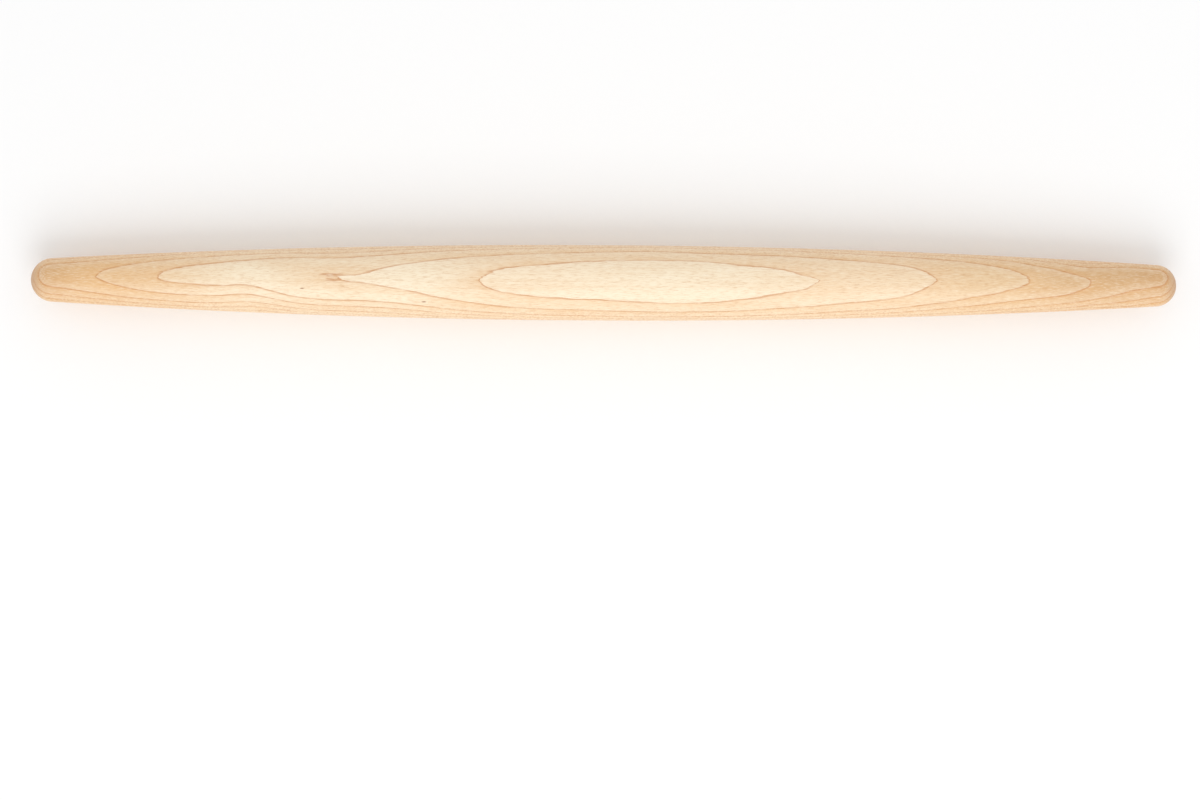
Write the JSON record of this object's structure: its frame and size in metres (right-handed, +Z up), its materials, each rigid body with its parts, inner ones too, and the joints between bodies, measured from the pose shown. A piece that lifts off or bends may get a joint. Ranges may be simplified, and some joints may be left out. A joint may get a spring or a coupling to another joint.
{
  "type": "french rolling pin",
  "caption": "Handleless rolling pin turned from one length of maple, thickest at its belly and narrowing in a long bow to two round tips, for rolling out dough and pastry.",
  "frame": {"origin": "the point on the worktop under the pin's axis, half way between the two tips, in the middle of the box's underside", "axes": "+X along the pin towards its slimmer tip, +Z up from the worktop, +Y across the pin, away from someone who sees the slimmer tip on their right"},
  "size_m": [0.508, 0.0334, 0.0334],
  "materials": {
    "maple": "fine-sanded hard maple with a rubbed food-safe oil, satin"
  },
  "bodies": {
    "root": {"rolling_pin": "maple"}
  },
  "joints": []
}
